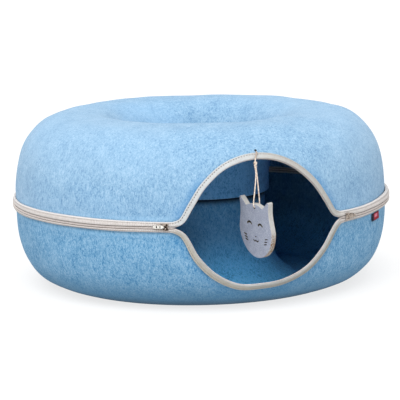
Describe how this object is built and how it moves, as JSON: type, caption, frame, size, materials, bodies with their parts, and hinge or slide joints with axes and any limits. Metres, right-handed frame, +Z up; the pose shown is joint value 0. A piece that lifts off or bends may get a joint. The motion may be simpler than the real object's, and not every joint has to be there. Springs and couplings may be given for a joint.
{
  "type": "felt play tunnel",
  "caption": "Ring-shaped felt play tunnel for a cat: two moulded half shells joined by a zip that opens into a front mouth, where a felt toy hangs on twine.",
  "frame": {"origin": "on the floor, under the middle of the whole object's bounding box; the ring's own axis is 15 mm behind it (+Y), because the toy reaches out past the front", "axes": "+Z up along the ring's axis, -Y out of the mouth (the front), +X to the right of someone facing the mouth"},
  "size_m": [0.6118, 0.6427, 0.2764],
  "materials": {
    "felt": "mottled light blue needle felt, matte",
    "zip_tape": "cream woven tape",
    "zip_coil": "off-white nylon coil",
    "nickel": "nickel-plated metal",
    "woven_label": "red woven label with a dark border, no text",
    "toy_felt": "thick pale grey-lavender felt with browned cut edges",
    "twine": "natural jute twine"
  },
  "bodies": {
    "root": {"upper_shell": "felt", "lower_shell": "felt", "upper_tape": "zip_tape", "lower_tape": "zip_tape", "upper_coil": "zip_coil", "lower_coil": "zip_coil", "slider_left": "nickel", "slider_right": "nickel", "pull_left": "nickel", "pull_right": "nickel", "label": "woven_label", "toy": "toy_felt", "twine": "twine", "twine_knot": "twine"}
  },
  "joints": []
}
